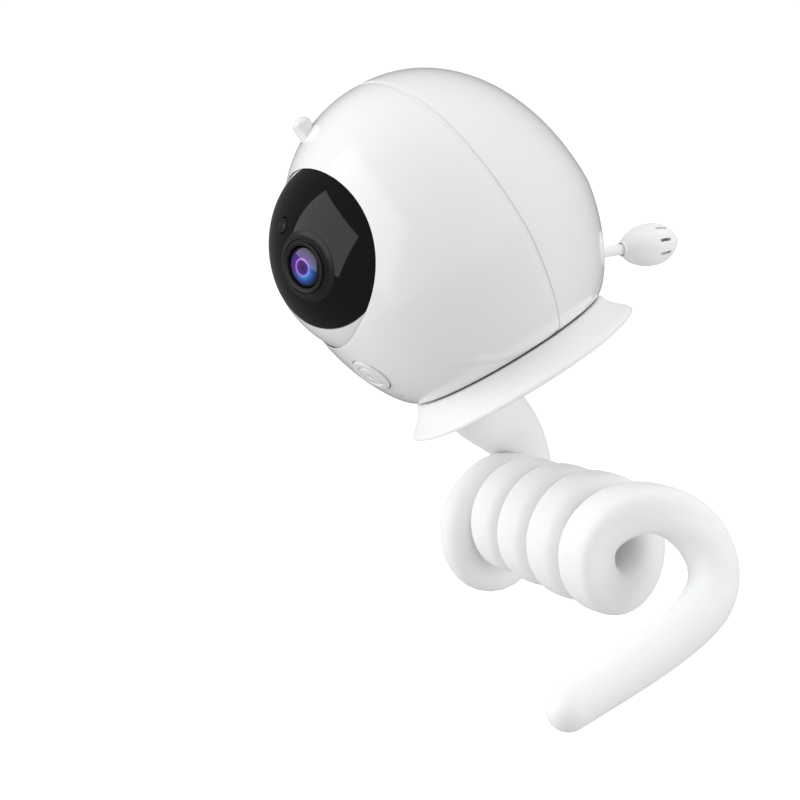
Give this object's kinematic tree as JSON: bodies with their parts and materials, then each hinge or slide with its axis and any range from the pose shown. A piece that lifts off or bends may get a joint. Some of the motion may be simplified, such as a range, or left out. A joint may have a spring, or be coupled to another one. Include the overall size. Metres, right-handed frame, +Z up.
{
  "type": "baby monitor camera",
  "caption": "Egg-shaped baby camera head with a pan and tilt eyeball, on a dish with a bendable silicone arm coiled round a rail.",
  "frame": {"origin": "on the axis of the rail that the arm is coiled round, at the middle of the coil", "axes": "+X along the rail, towards the arm's free end; +Z up; -Y the side that the camera looks to"},
  "size_m": [0.1286, 0.1297, 0.1721],
  "materials": {
    "shell_white": "high gloss moulded ABS",
    "silicone_white": "satin silicone",
    "face_black": "polished tinted acrylic",
    "bezel_grey": "polished, with fine turned rings",
    "dark_plastic": "fine matte",
    "steel": "satin",
    "brass": "satin",
    "nylon": "natural moulded nylon",
    "circuit_board": "solder mask",
    "lens_coated": "coated optical glass",
    "led_lens": "clear dark epoxy"
  },
  "bodies": {
    "root": {"coil_sleeve": "silicone_white", "coil_core": "steel"},
    "dish": {"mount_dish": "silicone_white", "dish_plate": "steel", "mounting_stud": "steel", "swivel_washer": "dark_plastic", "neck_sleeve": "silicone_white", "neck_core": "steel"},
    "head": {"head_front_shell": "shell_white", "head_rear_shell": "shell_white", "head_base_cover": "shell_white", "base_cover_screw_1": "steel", "base_cover_screw_2": "steel", "base_cover_screw_3": "steel", "threaded_insert": "brass", "button_switch": "dark_plastic", "microphone": "steel", "antenna_nub": "shell_white", "antenna_rod": "brass", "temperature_sensor_tip": "silicone_white", "temperature_sensor_stem": "silicone_white", "thermistor": "dark_plastic", "main_board": "circuit_board", "speaker": "dark_plastic", "power_inlet": "steel", "eye_bracket": "dark_plastic", "bracket_screw_1": "steel", "bracket_screw_2": "steel", "pan_motor": "steel"},
    "button": {"pair_button": "shell_white"},
    "eye_yaw": {"pan_gear": "nylon", "eye_yoke": "dark_plastic", "pan_shaft": "steel", "tilt_motor": "steel"},
    "pan_pinion": {"pan_pinion": "nylon"},
    "eyeball": {"eyeball_shell": "shell_white", "tilt_pin_right": "steel", "tilt_pin_left": "steel", "tilt_gear": "nylon", "eye_face_dome": "face_black", "lens_bezel": "bezel_grey", "lens_barrel": "dark_plastic", "lens_glass": "lens_coated", "image_sensor_board": "circuit_board", "light_sensor": "dark_plastic", "infrared_led_board": "circuit_board", "infrared_led_1": "led_lens", "infrared_led_2": "led_lens", "infrared_led_3": "led_lens", "infrared_led_4": "led_lens"},
    "tilt_pinion": {"tilt_pinion": "nylon"},
    "tail": {"tail_sleeve": "silicone_white", "tail_core": "steel"}
  },
  "joints": [
    {"name": "neck_bend", "type": "hinge", "parent": "root", "child": "dish", "pos_m": [-0.03589, 0.00404, 0.02748], "axis": [0.9262, -0.2391, 0.2916], "range_deg": [-20, 20], "deforming": ["neck_sleeve", "neck_core"]},
    {"name": "head_swivel", "type": "hinge", "parent": "dish", "child": "head", "pos_m": [-0.014, -0.0155, 0.0558], "axis": [-0.3652, -0.3757, 0.8518], "range_deg": [-170, 170]},
    {"name": "button_press", "type": "slide", "parent": "head", "child": "button", "axis": [-0.0434, 0.7006, 0.7122], "range_m": [0, 0.0008], "stiffness_N_per_m": 250, "springref_m": -0.0006},
    {"name": "eye_pan", "type": "hinge", "parent": "head", "child": "eye_yaw", "pos_m": [-0.03196, -0.04755, 0.08656], "axis": [-0.3652, -0.3757, 0.8518], "range_deg": [-54, 6]},
    {"name": "pan_pinion_spin", "type": "hinge", "parent": "head", "child": "pan_pinion", "pos_m": [-0.03045, -0.03322, 0.09352], "axis": [-0.3652, -0.3757, 0.8518], "range_deg": [-25, 190]},
    {"name": "eye_tilt", "type": "hinge", "parent": "eye_yaw", "child": "eyeball", "pos_m": [-0.03196, -0.04755, 0.08656], "axis": [0.8737, 0.1776, 0.4529], "range_deg": [-12, 20]},
    {"name": "tilt_pinion_spin", "type": "hinge", "parent": "eye_yaw", "child": "tilt_pinion", "pos_m": [-0.03305, -0.03643, 0.08431], "axis": [0.8737, 0.1776, 0.4529], "range_deg": [-65, 40]},
    {"name": "tail_bend", "type": "hinge", "parent": "root", "child": "tail", "pos_m": [0.04839, 0.00627, -0.01212], "axis": [1, 0, 0], "range_deg": [-5, 25], "deforming": ["tail_sleeve", "tail_core"]}
  ],
  "couplings": [
    {"joint": "pan_pinion_spin", "follows": "eye_pan", "ratio": -3.2857},
    {"joint": "tilt_pinion_spin", "follows": "eye_tilt", "ratio": -3}
  ]
}
